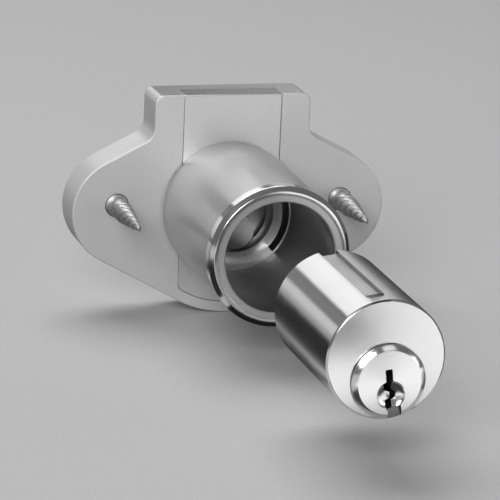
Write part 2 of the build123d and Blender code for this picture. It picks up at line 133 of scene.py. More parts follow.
@dataclass(frozen=True)
class Finish:
    """Metal finish with its grain, tone and roughness.

    Args:
        slot: material slot of the record, or the finish's own name.
        light: base colour of the clean metal.
        dark: base colour in its hollows and grain lines.
        roughness: mean roughness.
        spread: how far the roughness varies to each side.
        grain: how the surface was worked.
        pitch: distance between grain lines or grains.
        depth: height of the grain.
        metallic: share of metal in the shader.
        drag: how far the turning marks stretch the highlights, from 0 to 1.
        face_roughness: mean roughness of the end faces, where it isn't that of the round walls.
        centre: x and z of the axis that a turned piece was turned on.
        machined_shade_above: height from which the surface is milled smooth and painted darker as
            shade, or None.
        machined_shade_tone: grey of the painted shade on the milled part.
    """

    slot: str
    light: Colour
    dark: Colour
    roughness: float
    spread: float
    grain: Grain
    pitch: float
    depth: float
    metallic: float = 1.0
    drag: float = 0.0
    face_roughness: float | None = None
    centre: Pair = (0.0, 0.0)
    machined_shade_above: float | None = None
    machined_shade_tone: float = 0.56

    def material(self) -> Material:
        """Builds the node material.

        Returns:
            The material, named after its slot.
        """
        made = bpy.data.materials.new(f"{self.slot}_finish")
        tree = NodeTree(made)
        place = tree.place(self.centre)
        grain = self._grain(tree, place)
        mottle = tree.noise(place, MOTTLE_SIZE, detail=3.0)
        speck = tree.noise(place, SPECK_SIZE, detail=2.0)
        tone = tree.weigh(grain, GRAIN_IN_TONE, tree.math("MULTIPLY", mottle, MOTTLE_IN_TONE))
        tone = tree.weigh(speck, SPECK_IN_TONE, tone)
        worn = tree.math("MULTIPLY", grain, GRAIN_IN_ROUGHNESS)
        worn = tree.weigh(mottle, MOTTLE_IN_ROUGHNESS, worn)
        limits = (self.roughness - self.spread, self.roughness + self.spread)
        rough = tree.remap(worn, NOISE_RANGE, limits)
        metallic: Socket | float = self.metallic
        foot = None
        # Milled tops: smoother and fully metallic as milled, and painted darker in tone as shade on
        # the top faces.
        if self.machined_shade_above is not None:
            top = tree.above(place, self.machined_shade_above)
            tone = tree.weigh(top, MACHINED_SHADE_TONE, tone)
            rough = tree.weigh(top, MILLED_ROUGHNESS, rough)
            metallic = tree.weigh(top, 1.0 - self.metallic, self.metallic)
            foot = grey(self.machined_shade_tone)
        if self.face_roughness is not None:
            rough = tree.weigh(tree.end_facing(), self.face_roughness - self.roughness, rough)
        if self.drag:
            tree.fill(
                tree.shader,
                Anisotropic=self.drag,
                Anisotropic_Rotation=QUARTER_TURN,
                Tangent=tree.round_tangent(),
            )
        bumped = tree.bump(grain, self.depth)
        tree.fill(
            tree.shader,
            Base_Color=tree.ramp(tone, self.dark, self.light, foot),
            Metallic=metallic,
            Roughness=rough,
            Normal=tree.bump(speck, self.depth * SPECK_DEPTH, bumped),
        )
        return made

    def _grain(self, tree: "NodeTree", place: Socket) -> Socket:
        """Height of the worked grain.

        Args:
            tree: nodes of the material.
            place: coordinates on the piece.

        Returns:
            The height, from 0 to 1.
        """
        if self.grain is Grain.TURNED:
            return tree.noise_line(tree.turning_line(place), self.pitch)
        if self.grain is Grain.DRAWN:
            return tree.noise(tree.stretch(place, ALONG_THE_GRAIN), self.pitch, detail=2.0)
        if self.grain is Grain.CAST:
            return tree.noise(place, self.pitch, detail=4.0)
        return tree.cells(place, self.pitch)


class NodeTree:
    """Short hand for building one material."""

    def __init__(self, made: Material) -> None:
        """Starts from the material's own shader node.

        Args:
            made: the new material.
        """
        made.use_nodes = True
        self.nodes = made.node_tree.nodes
        self.links = made.node_tree.links
        self.shader = self.nodes["Principled BSDF"]

    def put(self, value: Socket | float | Sequence[float], target: Socket) -> None:
        """Fills one input.

        Args:
            value: a socket to link, or a plain value to set.
            target: the input.
        """
        if isinstance(value, bpy.types.NodeSocket):
            self.links.new(value, target)
        else:
            target.default_value = value

    def fill(self, node: bpy.types.Node, **inputs: object) -> bpy.types.Node:
        """Fills the inputs of a node.

        Args:
            node: the node.
            inputs: a socket or a value for each input, called as on the node but with _ for a
                space. None leaves an input alone.

        Returns:
            The same node.
        """
        for name, value in inputs.items():
            if value is not None:
                self.put(value, node.inputs[name.replace("_", " ")])
        return node

    def node(self, kind: str, **inputs: object) -> bpy.types.Node:
        """Adds a node and fills its inputs."""
        return self.fill(self.nodes.new(kind), **inputs)

    def place(self, centre: Pair) -> Socket:
        """Object coordinates with a piece's own axis moved to x and z of zero.

        Args:
            centre: x and z of the axis.

        Returns:
            The coordinates.
        """
        coordinates = self.node("ShaderNodeTexCoord").outputs["Object"]
        move = (-centre[0], 0.0, -centre[1])
        return self.node("ShaderNodeMapping", Vector=coordinates, Location=move).outputs["Vector"]

    def stretch(self, place: Socket, scale: Triple) -> Socket:
        """Coordinates scaled along each axis."""
        return self.node("ShaderNodeMapping", Vector=place, Scale=scale).outputs["Vector"]

    def parts(self, vector: Socket) -> tuple[Socket, ...]:
        """X, Y and Z of a vector."""
        return tuple(self.node("ShaderNodeSeparateXYZ", Vector=vector).outputs)

    def turning_line(self, place: Socket) -> Socket:
        """Distance along a lathe tool's way.

        Args:
            place: coordinates with the turning axis at x and z of zero.

        Returns:
            A length that grows along Y on round walls and outwards on end faces.
        """
        x, y, z = self.parts(place)
        across = self.weigh(z, z, self.math("MULTIPLY", x, x))
        return self.math("ADD", self.math("SQRT", across), y)

    def above(self, place: Socket, height: float) -> Socket:
        """One above a height, and zero below it."""
        return self.math("GREATER_THAN", self.parts(place)[2], height)

    def end_facing(self) -> Socket:
        """One on faces that look along Y, and zero on round walls."""
        normal = self.node("ShaderNodeTexCoord").outputs["Normal"]
        return self.remap(self.math("ABSOLUTE", self.parts(normal)[1]), END_FACE_RANGE, (0.0, 1.0))

    def round_tangent(self) -> Socket:
        """Direction round the Y axis, along a lathe's marks.

        Returns:
            The tangent.
        """
        node = self.nodes.new("ShaderNodeTangent")
        node.direction_type = "RADIAL"
        node.axis = "Y"
        return node.outputs["Tangent"]

    def noise(self, place: Socket, size: float, detail: float) -> Socket:
        """Soft noise in space."""
        node = self.node("ShaderNodeTexNoise", Vector=place, Scale=1 / size, Detail=detail)
        return node.outputs["Fac"]

    def noise_line(self, line: Socket, size: float) -> Socket:
        """Noise along one length.

        Args:
            line: the length.
            size: distance between its waves.

        Returns:
            The noise, from 0 to 1.
        """
        node = self.nodes.new("ShaderNodeTexNoise")
        node.noise_dimensions = "1D"
        return self.fill(node, W=line, Scale=1 / size, Detail=LINE_DETAIL).outputs["Fac"]

    def cells(self, place: Socket, size: float) -> Socket:
        """Small dents, as tumbling leaves them."""
        return self.node("ShaderNodeTexVoronoi", Vector=place, Scale=1 / size).outputs["Distance"]

    def math(self, operation: str, *values: Socket | float) -> Socket:
        """One math node.

        Args:
            operation: name of what it does.
            values: a socket or a number for each of its inputs.

        Returns:
            The result.
        """
        node = self.nodes.new("ShaderNodeMath")
        node.operation = operation
        for value, target in zip(values, node.inputs):
            self.put(value, target)
        return node.outputs["Value"]

    def weigh(self, value: Socket, weight: Socket | float, rest: Socket | float) -> Socket:
        """A value times its weight, added to the rest."""
        return self.math("MULTIPLY_ADD", value, weight, rest)

    def remap(self, value: Socket, before: Pair, after: Pair) -> Socket:
        """Spreads one range of values over another.

        Args:
            value: the value.
            before: both ends of its own range.
            after: both ends of the new range.

        Returns:
            The new value, held at the ends of its range.
        """
        node = self.node("ShaderNodeMapRange", Value=value, From_Min=before[0], From_Max=before[1])
        return self.fill(node, To_Min=after[0], To_Max=after[1]).outputs["Result"]

    def ramp(self, tone: Socket, dark: Colour, light: Colour, foot: Colour | None = None) -> Socket:
        """Colour ramp between two tones.

        Args:
            tone: noise that picks the place on the ramp.
            dark: colour at the low end of the noise.
            light: colour at its high end.
            foot: a third colour, far below the noise.

        Returns:
            The colour.
        """
        node = self.node("ShaderNodeValToRGB", Fac=tone)
        for element, position, colour in zip(node.color_ramp.elements, NOISE_RANGE, (dark, light)):
            element.position = position
            element.color = (*colour, 1.0)
        if foot is not None:
            node.color_ramp.elements.new(FOOT_PLACE).color = (*foot, 1.0)
        return node.outputs["Color"]

    def bump(self, height: Socket, depth: float, before: Socket | None = None) -> Socket:
        """Bump of a real depth, on top of an earlier one where there is one."""
        node = self.node("ShaderNodeBump", Strength=1.0, Distance=depth, Height=height)
        return self.fill(node, Normal=before).outputs["Normal"]


def grey(value: float, warmth: float = 0.0) -> Colour:
    """Neutral tone, a little warmer towards red where asked."""
    return (value * (1 + warmth), value, value * (1 - warmth))


def axis_of(node: str) -> Pair:
    """X and z of a round node's axis, which lies along Y."""
    low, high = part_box(node)
    return ((low.x + high.x) / 2, (low.z + high.z) / 2)


PLUG_AXIS = axis_of("plug")
CYLINDER_TURN = math.radians(7.5)
PLUG_DROP = 4.0 * MM
TOP_FACE = 24.1 * MM
# Pin chambers: y of the first one and the distance between them, in millimetres.
FIRST_PIN, PIN_SPACING, PIN_COUNT = -99.2, 3.96, 6
PIN_PLACES = [(FIRST_PIN + PIN_SPACING * step) * MM for step in range(PIN_COUNT)]
CHAMBER_RADIUS = 1.5 * MM

# Slot, light and dark tone, roughness and its spread, grain with its pitch and depth, and then the
# share of metal and the drag.
FINISHES: dict[str, Finish] = {
    finish.slot: finish
    for finish in (
        # The case's top face is milled, and painted darker in tone as shade.
        Finish(
            "cast_case", grey(0.78), grey(0.71), 0.46, 0.05,
            Grain.CAST, 0.35 * MM, 0.010 * MM, 0.40, machined_shade_above=TOP_FACE,
        ),
        Finish(
            "turned_barrel", grey(0.63), grey(0.55), 0.31, 0.04,
            Grain.TURNED, 0.35 * MM, 0.006 * MM, 0.65, 0.6,
        ),
        Finish(
            "bright_ring", grey(0.88), grey(0.80), 0.16, 0.04,
            Grain.TURNED, 0.25 * MM, 0.004 * MM, 1.0, 0.5,
        ),
        Finish(
            "small_screw", grey(0.62), grey(0.50), 0.26, 0.05,
            Grain.TUMBLED, 0.30 * MM, 0.006 * MM,
        ),
        # The bore's wall: bored metal, with its tone set darker than the barrel's outside as
        # painted shade in the bore.
        Finish(
            "bore", grey(0.56), grey(0.46), 0.33, 0.04,
            Grain.TURNED, 0.35 * MM, 0.003 * MM, 1.0, 0.8,
        ),
        # Darkest finish, for the barrel's stepped recess and slot and the driver's front: painted
        # shade deep in the bore.
        Finish(
            "recess_painted_shade", grey(0.25), grey(0.18), 0.34, 0.05,
            Grain.TURNED, 0.30 * MM, 0.004 * MM, 0.9,
        ),
        # Dark milled finish for the groove's walls and ramp, the plug's notch, the crank and the
        # driver: painted shade in these hollows and deep in the lock.
        Finish("milled", grey(0.30), grey(0.22), 0.26, 0.05, Grain.DRAWN, 0.20 * MM, 0.002 * MM),
        Finish(
            "screw_steel", grey(0.56), grey(0.42), 0.42, 0.06,
            Grain.TUMBLED, 0.40 * MM, 0.008 * MM, 0.8,
        ),
        Finish(
            "spring_steel", grey(0.42), grey(0.30), 0.30, 0.05,
            Grain.DRAWN, 0.20 * MM, 0.004 * MM,
        ),
        # The bolt's top face is milled, and painted much darker in tone as shade.
        Finish(
            "bolt_steel", grey(0.86), grey(0.76), 0.38, 0.05,
            Grain.DRAWN, 0.30 * MM, 0.002 * MM, 0.6, machined_shade_above=TOP_FACE, machined_shade_tone=0.34,
        ),
        Finish(
            "brass", (0.72, 0.52, 0.24), (0.52, 0.36, 0.15), 0.28, 0.06,
            Grain.TURNED, 0.22 * MM, 0.006 * MM, centre=PLUG_AXIS,
        ),
        Finish(
            "cylinder_plate", grey(0.88), grey(0.80), 0.21, 0.03,
            Grain.TURNED, 0.30 * MM, 0.002 * MM, drag=0.6, face_roughness=0.22,
        ),
        Finish(
            "cover_strip", grey(0.74), grey(0.66), 0.36, 0.04,
            Grain.DRAWN, 0.15 * MM, 0.001 * MM,
        ),
        Finish(
            "plug_plate", grey(0.90), grey(0.82), 0.18, 0.04,
            Grain.TURNED, 0.25 * MM, 0.003 * MM, drag=0.5, face_roughness=0.20, centre=PLUG_AXIS,
        ),
        Finish(
            "nickel_silver", grey(0.66, 0.03), grey(0.54, 0.04), 0.24, 0.05,
            Grain.TURNED, 0.2 * MM, 0.004 * MM,
        ),
    )
}


# Modelling by hand, in code

# How far a cutter reaches past the metal.
PAST = 1.0 * MM
# How squarely a round wall's normal may look along Y.
WALL_LIMIT = 0.5
MERGE_DISTANCE = 0.0005 * MM
SHARP_ANGLE = 32.0
SMOOTH_ANGLE = 40.0
FLAT_ANGLE = 0.5


def from_plug(y: float, above: float = 0.0, x: float = 0.0) -> Vector:
    """Point of an upright piece, with its height taken from the plug's axis."""
    return Vector((x, y, -PLUG_DROP + above))


class Bench:
    """Operators of one modelling session, with everything deselected between pieces."""

    @staticmethod
    def clear() -> None:
        """Leaves edit mode and deselects everything."""
        if bpy.context.object and bpy.context.object.mode != "OBJECT":
            bpy.ops.object.mode_set(mode="OBJECT")
        for thing in bpy.context.selected_objects:
            thing.select_set(False)

    @staticmethod
    def take(piece: Piece) -> None:
        """Makes one object the only selected and active one.

        Args:
            piece: the object.
        """
        Bench.clear()
        piece.select_set(True)
        bpy.context.view_layer.objects.active = piece

    @staticmethod
    def settle(piece: Piece) -> None:
        """Puts the object at the origin, with its place in its mesh."""
        Bench.take(piece)
        bpy.ops.object.transform_apply(location=True, rotation=True, scale=True)

    @staticmethod
    def name_new(name: str, scale: Sequence[float] = (1.0, 1.0, 1.0)) -> Piece:
        """Names the primitive that was just added, scales it and settles it.

        Args:
            name: its new name.
            scale: how far it is stretched along its own axes.

        Returns:
            The primitive.
        """
        piece = bpy.context.object
        piece.name = name
        piece.scale = scale
        Bench.settle(piece)
        return piece

    @staticmethod
    def edit(piece: Piece) -> None:
        """Enters edit mode with all corners selected.

        Args:
            piece: the piece to edit.
        """
        Bench.take(piece)
        bpy.ops.object.mode_set(mode="EDIT")
        bpy.ops.mesh.select_mode(type="VERT")
        bpy.ops.mesh.select_all(action="SELECT")

    @staticmethod
    def close() -> None:
        """Merges doubles, turns all faces outwards and leaves edit mode."""
        bpy.ops.mesh.select_all(action="SELECT")
        bpy.ops.mesh.remove_doubles(threshold=MERGE_DISTANCE)
        bpy.ops.mesh.normals_make_consistent(inside=False)
        bpy.ops.object.mode_set(mode="OBJECT")

    @staticmethod
    def extrude(move: Triple, scale: Triple, centre: Triple) -> None:
        """Extrudes what is selected, moves it and scales it about a point."""
        bpy.ops.mesh.extrude_region_move(TRANSFORM_OT_translate={"value": move})
        bpy.ops.transform.resize(value=scale, center_override=centre)

    @staticmethod
    def pull(piece: Piece, which: Callable[[Vector], bool], move: Triple) -> None:
        """Moves some corners of a piece.

        Args:
            piece: the piece.
            which: tells from a corner's place whether it moves.
            move: how far they move.
        """
        Bench.edit(piece)
        bpy.ops.mesh.select_all(action="DESELECT")
        bpy.ops.object.mode_set(mode="OBJECT")
        for vertex in piece.data.vertices:
            vertex.select = which(vertex.co)
        bpy.ops.object.mode_set(mode="EDIT")
        bpy.ops.transform.translate(value=move)
        bpy.ops.object.mode_set(mode="OBJECT")

    @staticmethod
    def turn(
        name: str,
        profile: Profile,
        centre: Pair = (0.0, 0.0),
        sides: int = 128,
        ring: bool = False,
    ) -> Piece:
        """Turns a piece, by extruding and scaling a circle from station to station.

        Args:
            name: name of the new object.
            profile: stations of the outline as (y, radius).
            centre: x and z of the axis.
            sides: number of sides of the circle.
            ring: joins the last station to the first, for a piece with a through bore.

        Returns:
            The turned piece, closed and facing outwards.
        """
        Bench.clear()
        y, radius = profile[0]
        bpy.ops.mesh.primitive_circle_add(
            vertices=sides,
            radius=radius,
            fill_type="NOTHING" if ring else "NGON",
            location=(centre[0], y, centre[1]),
            rotation=(math.pi / 2, 0.0, 0.0),
        )
        piece = Bench.name_new(name)
        Bench.edit(piece)
        for next_y, next_radius in [*profile[1:], *(profile[:1] if ring else ())]:
            factor = next_radius / radius
            about = (centre[0], next_y, centre[1])
            Bench.extrude((0.0, next_y - y, 0.0), (factor, 1.0, factor), about)
            y, radius = next_y, next_radius
        Bench.close()
        return piece

    @staticmethod
    def box(name: str, low: Vector, high: Vector) -> Piece:
        """Rectangular blank between two corners.

        Args:
            name: name of the new object.
            low: its lowest corner.
            high: its highest corner.

        Returns:
            The blank.
        """
        Bench.clear()
        bpy.ops.mesh.primitive_cube_add(size=1.0, location=(low + high) / 2)
        return Bench.name_new(name, high - low)

    @staticmethod
    def sheet(
        name: str, middle: Triple, size: Pair, rotation: Sequence[float] = (0.0, 0.0, 0.0)
    ) -> Piece:
        """Flat rectangle.

        Args:
            name: name of the new object.
            middle: its middle.
            size: its width and length.
            rotation: its turn about X, Y and Z, in radians.

        Returns:
            The rectangle.
        """
        Bench.clear()
        bpy.ops.mesh.primitive_plane_add(size=1.0, location=middle, rotation=rotation)
        return Bench.name_new(name, (*size, 1.0))

    @staticmethod
    def rod(name: str, radius: float, low: Vector, high: Vector, sides: int = 48) -> Piece:
        """Round blank between two points.

        Args:
            name: name of the new object.
            radius: its radius.
            low: middle of one end.
            high: middle of the other end.
            sides: number of sides.

        Returns:
            The closed blank.
        """
        Bench.clear()
        way = high - low
        bpy.ops.mesh.primitive_cylinder_add(
            vertices=sides,
            radius=radius,
            depth=way.length,
            location=(low + high) / 2,
            rotation=way.to_track_quat("Z", "Y").to_euler(),
        )
        return Bench.name_new(name)

    @staticmethod
    def stack(name: str, levels: Sequence[Triple], ends: Pair) -> Piece:
        """Straight bar along Y whose outline is a stack of levels.

        Args:
            name: name of the new object.
            levels: each level's height, left and right.
            ends: y of the bar's front and back.

        Returns:
            The closed bar.
        """
        front, back = ends
        height, left, right = levels[0]
        place = ((left + right) / 2, (front + back) / 2, height)
        piece = Bench.sheet(name, place, (right - left, back - front))
        Bench.edit(piece)
        for next_height, next_left, next_right in levels[1:]:
            middle = (next_left + next_right) / 2
            move = (middle - (left + right) / 2, 0.0, next_height - height)
            wider = (next_right - next_left) / (right - left)
            Bench.extrude(move, (wider, 1.0, 1.0), (middle, 0.0, next_height))
            height, left, right = next_height, next_left, next_right
        Bench.close()
        return piece

    @staticmethod
    def channel(
        name: str, width: float, ends: Pair, heights: Pair, round_back: bool = False
    ) -> Piece:
        """Upright bar along Y with a round front end.

        Args:
            name: name of the new object.
            width: width of the bar.
            ends: foremost and hindmost y.
            heights: z of the lower and the upper face.
            round_back: makes the back end round too.

        Returns:
            The closed bar.
        """
        half = width / 2
        low, high = heights
        front, back = ends[0] + half, ends[1] - (half if round_back else 0.0)
        bar = Bench.box(name, Vector((-half, front, low)), Vector((half, back, high)))
        for y in (front, back) if round_back else (front,):
            end = Bench.rod("end", half, Vector((0.0, y, low)), Vector((0.0, y, high)), sides=64)
            Bench.combine(bar, end, Boolean.JOIN)
        return bar

    @staticmethod
    def modify(piece: Piece, kind: str, **settings: object) -> None:
        """Adds one modifier and applies it.

        Args:
            piece: the piece.
            kind: type of the modifier.
            settings: its settings.
        """
        Bench.take(piece)
        modifier = piece.modifiers.new(kind.title(), kind)
        for key, value in settings.items():
            setattr(modifier, key, value)
        bpy.ops.object.modifier_apply(modifier=modifier.name)

    @staticmethod
    def combine(piece: Piece, tool: Piece, operation: Boolean) -> None:
        """Applies a tool to the piece and clears the tool away."""
        Bench.modify(piece, "BOOLEAN", object=tool, operation=operation.value, solver="EXACT")
        bpy.data.objects.remove(tool)

    @staticmethod
    def cut(piece: Piece, *tools: Piece) -> None:
        """Cuts several tools out of the piece."""
        for tool in tools:
            Bench.combine(piece, tool, Boolean.CUT)

    @staticmethod
    def drill_chambers(piece: Piece, top: float) -> None:
        """Drills the row of pin chambers, upwards from the plug's axis.

        Args:
            piece: the upright piece.
            top: height at which the chambers end.
        """
        for y in PIN_PLACES:
            high = Vector((0.0, y, top))
            Bench.cut(piece, Bench.rod("chamber", CHAMBER_RADIUS, from_plug(y), high, sides=32))

    @staticmethod
    def ease(piece: Piece, width: float, angle: float = SHARP_ANGLE, segments: int = 2) -> None:
        """Breaks the sharp edges with a fine bevel and shades the rest smooth."""
        Bench.bevel(piece, width, angle, segments)
        Bench.shade(piece)

    @staticmethod
    def bevel(piece: Piece, width: float, angle: float = SHARP_ANGLE, segments: int = 2) -> None:
        """Breaks the sharp edges.

        Args:
            piece: the piece.
            width: width of the bevel.
            angle: least angle between the faces of a sharp edge.
            segments: number of facets of the bevel.
        """
        Bench.modify(
            piece,
            "BEVEL",
            width=width,
            segments=segments,
            limit_method="ANGLE",
            angle_limit=math.radians(angle),
            miter_outer="MITER_ARC",
            use_clamp_overlap=True,
            harden_normals=False,
        )

    @staticmethod
    def shade(piece: Piece) -> None:
        """Shades round walls smooth and keeps flat faces flat."""
        Bench.take(piece)
        bpy.ops.object.shade_smooth_by_angle(angle=math.radians(SMOOTH_ANGLE))
        Bench.modify(piece, "WEIGHTED_NORMAL", keep_sharp=True, weight=100)

    @staticmethod
    def lean(piece: Piece) -> Piece:
        """Turns an upright piece about the barrel's axis, as the cylinder stands.

        Args:
            piece: the upright piece.

        Returns:
            The same piece.
        """
        piece.rotation_euler = (0.0, -CYLINDER_TURN, 0.0)
        Bench.settle(piece)
        return piece

    @staticmethod
    def copy_of(node: str, name: str) -> Piece:
        """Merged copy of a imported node's mesh, with its flat faces made whole again.

        Args:
            node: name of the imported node.
            name: name of the new object.

        Returns:
            The copy. The node itself stays as it is.
        """
        source = frame["nodes"][node]
        piece = bpy.data.objects.new(name, source.data.copy())
        bpy.context.scene.collection.objects.link(piece)
        piece.data.materials.clear()
        Bench.edit(piece)
        bpy.ops.mesh.customdata_custom_splitnormals_clear()
        bpy.ops.mesh.remove_doubles(threshold=2 * MERGE_DISTANCE)
        bpy.ops.mesh.dissolve_limited(angle_limit=math.radians(FLAT_ANGLE))
        Bench.close()
        return piece


class Assembly:
    """Base of the sub-assemblies: keeps their pieces and gives them body and finish."""

    body: Body = Body.CASE

    def __init__(self, materials: dict[str, Material]) -> None:
        """Takes the finished materials by slot."""
        self.materials = materials
        self.made: list[Piece] = []

    def dress(
        self,
        piece: Piece,
        slot: str,
        replaces: Iterable[str] = (),
        body: Body | None = None,
        finish: str | None = None,
    ) -> Piece:
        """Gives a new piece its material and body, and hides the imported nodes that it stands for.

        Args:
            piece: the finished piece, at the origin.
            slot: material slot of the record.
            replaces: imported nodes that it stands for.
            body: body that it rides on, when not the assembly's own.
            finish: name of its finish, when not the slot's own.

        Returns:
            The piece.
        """
        piece.data.materials.clear()
        piece.data.materials.append(self.materials[finish or slot])
        for polygon in piece.data.polygons:
            polygon.material_index = 0
        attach(piece, (body or self.body).value)
        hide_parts(*replaces)
        self.made.append(piece)
        return piece

    def patch(self, piece: Piece, finish: str, where: FaceTest) -> None:
        """Gives part of a piece another finish.

        Args:
            piece: a piece that is already dressed.
            finish: name of the other finish.
            where: tells from a face's middle and normal, as modelled upright, whether it takes it.
        """
        index = len(piece.data.materials)
        piece.data.materials.append(self.materials[finish])
        upright = Matrix.Rotation(CYLINDER_TURN, 3, "Y")
        for polygon in piece.data.polygons:
            if where(upright @ polygon.center, upright @ polygon.normal):
                polygon.material_index = index

    def report(self) -> None:
        """Logs each piece with its size."""
        for piece in self.made:
            faces = len(piece.data.polygons)
            size = " x ".join(f"{value / MM:.1f}" for value in piece.dimensions)
            LOG.info("%s %s: %d faces, %s mm", type(self).__name__, piece.name, faces, size)


@dataclass(frozen=True)
class BarrelSize:
    """Radii, depths and places of the barrel, its end wall and its nose."""

    nose: float = 12.68 * MM
    bore: float = 11.33 * MM
    mouth: float = 0.25 * MM
    end_wall: float = 6.4 * MM
    cone: float = 9.5 * MM
    cone_depth: float = 1.1 * MM
    recess: float = 8.0 * MM
    step_wall: float = 4.0 * MM
    step: float = 6.9 * MM
    floor: float = 2.6 * MM
    pocket: float = 4.0 * MM
    spindle: float = 2.05 * MM
    window: Pair = (9.6 * MM, 11.1 * MM)
    window_floor: float = 1.5 * MM
    window_middle: float = 45.0
    screw: float = 1.0 * MM
    screw_depth: float = 4.0 * MM
    screw_places: Pair = (12.05 * MM, 4.10 * MM)
    key_width: float = 3.0 * MM
    key_heights: Pair = (10.6 * MM, 12.63 * MM)
    key_ends: Pair = (-32.0 * MM, -12.0 * MM)
    ring_bore: float = 12.70 * MM
    ring_bevel: float = 0.9 * MM
    ring_edge: float = 0.10 * MM
    ring_sharp: float = 25.0
    edge: float = 0.12 * MM
    slack: float = 0.05 * MM
    sides: int = 192


class Housing(Assembly):
    """Case casting, barrel and ring, with the screws that hold them."""

    body = Body.CASE
    size = BarrelSize()

    def build(self) -> None:
        """Builds the barrel, its ring and the key, and leaves the casting as packed."""
        barrel = self.dress(self._barrel(), "turned_barrel", ["barrel"])
        # The bore's wall is toned darker: painted shade in the bore.
        self.patch(barrel, "bore", self._in_bore)
        # The end wall's stepped recess and arc-shaped slot are toned darkest: painted shade, as the
        # end wall is the same metal as the barrel.
        self.patch(barrel, "recess_painted_shade", self._in_recess)
        self.dress(self._ring(), "bright_ring", ["trim_ring"])
        key = self._key("feather_key")
        Bench.ease(key, self.size.edge)
        self.dress(key, "spring_steel", ["guide_key"])

    def _in_bore(self, middle: Vector, normal: Vector) -> bool:
        """Whether a face belongs to the bore's round wall."""
        inside = math.hypot(middle.x, middle.z) < self.size.bore + 2 * self.size.slack
        return inside and middle.y < -self.size.end_wall and abs(normal.y) < WALL_LIMIT

    def _in_recess(self, middle: Vector, normal: Vector) -> bool:
        """Whether a face belongs to the end wall's stepped recess or its arc-shaped slot."""
        inside = math.hypot(middle.x, middle.z) < self.size.window[1] + self.size.slack
        return inside and middle.y > self.size.cone_depth - self.size.end_wall - self.size.slack

    def _key(self, name: str) -> Piece:
        """Feather key with two round ends, in its place in the bore.

        Args:
            name: name of the new object.

        Returns:
            The key, which also cuts its own seat.
        """
        size = self.size
        key = Bench.channel(name, size.key_width, size.key_ends, size.key_heights, round_back=True)
        return Bench.lean(key)

    def _window(self) -> Piece:
        """Quarter of a flat ring, which cuts the arc-shaped slot.

        Returns:
            The cutter.
        """
        size = self.size
        inner, outer = size.window
        front, back = -size.end_wall - PAST, -size.window_floor
        profile = [(front, inner), (front, outer), (back, outer), (back, inner)]
        ring = Bench.turn("window", profile, sides=size.sides, ring=True)
        reach = 2 * outer
        low, high = Vector((0.0, front - PAST, 0.0)), Vector((reach, back + PAST, reach))
        quarter = Bench.box("quarter", low, high)
        quarter.rotation_euler = (0.0, math.radians(size.window_middle), 0.0)
        Bench.settle(quarter)
        Bench.combine(ring, quarter, Boolean.SHARE)
        return ring

    def _barrel(self) -> Piece:
        """Barrel with its stepped end wall, arc-shaped slot and driver pocket.

        Returns:
            The barrel.
        """
        size = self.size
        low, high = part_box("barrel")
        nose, outer = low.y, high.x
        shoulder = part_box("trim_ring")[1].y
        profile = [
            (high.y, outer),
            (shoulder, outer),
            (shoulder, size.nose),
            (nose, size.nose),
            (nose, size.bore + size.mouth),
            (nose + size.mouth, size.bore),
            (-size.end_wall, size.bore),
            (-size.end_wall, size.cone),
            (size.cone_depth - size.end_wall, size.recess),
            (-size.step_wall, size.recess),
            (-size.step_wall, size.step),
            (-size.floor, size.step),
        ]
        barrel = Bench.turn("barrel_tube", profile, sides=size.sides)
        axis = Vector((PLUG_AXIS[0], 0.0, PLUG_AXIS[1]))
        ahead, behind = Vector((0.0, -size.end_wall, 0.0)), Vector((0.0, -size.floor, 0.0))
        pocket = Bench.rod("pocket", size.pocket, axis + ahead, axis + behind, sides=96)
        Bench.cut(barrel, self._window(), pocket)
        Bench.bevel(barrel, size.edge)
        through = Vector((0.0, PAST, 0.0))
        spindle = Bench.rod("spindle", size.spindle, axis + behind - through, axis + through)
        Bench.cut(barrel, spindle, self._key("seat"))
        x, z = size.screw_places
        deep = Vector((0.0, -size.screw_depth, 0.0))
        for side_x, side_z in ((-x, -z), (-x, z), (x, -z), (x, z)):
            place = Vector((side_x, 0.0, side_z))
            hole = Bench.rod("hole", size.screw, place + deep, place + through, sides=24)
            Bench.cut(barrel, hole)
        Bench.shade(barrel)
        return barrel

    def _ring(self) -> Piece:
        """Ring round the barrel's nose, with its wide bevel.

        Returns:
            The ring.
        """
        size = self.size
        low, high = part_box("trim_ring")
        profile = [
            (high.y, size.ring_bore),
            (high.y, high.x),
            (low.y + size.ring_bevel, high.x),
            (low.y, high.x - size.ring_bevel),
            (low.y, size.ring_bore),
        ]
        ring = Bench.turn("nose_ring", profile, sides=size.sides, ring=True)
        Bench.ease(ring, size.ring_edge, size.ring_sharp, segments=3)
        return ring


@dataclass(frozen=True)
class ScrewSize:
    """Sizes of a wood screw: its head, shank and cross recess, and the thread on its core."""

    head_height: float = 2.3 * MM
    head_edge: float = 0.15 * MM
    shank: float = 2.35 * MM
    shank_end: float = 0.05 * MM
    recess: Triple = (2.45 * MM, 0.55 * MM, 1.7 * MM)
    core: float = 1.40 * MM
    core_start: float = -0.5 * MM
    tip: Profile = ((1.0 * MM, 0.50 * MM), (0.2 * MM, 0.32 * MM), (0.0, 0.12 * MM))
    crest: float = 2.1 * MM
    pitch: float = 2.8 * MM
    ridge: float = 0.95 * MM
    squash: float = 0.8
    ridge_sides: int = 10
    taper: float = 12.0 * MM
    runout: float = 0.6 * MM
    point: float = 0.30
    steps: int = 32
    smooth: float = 60.0
    edge: float = 0.08 * MM


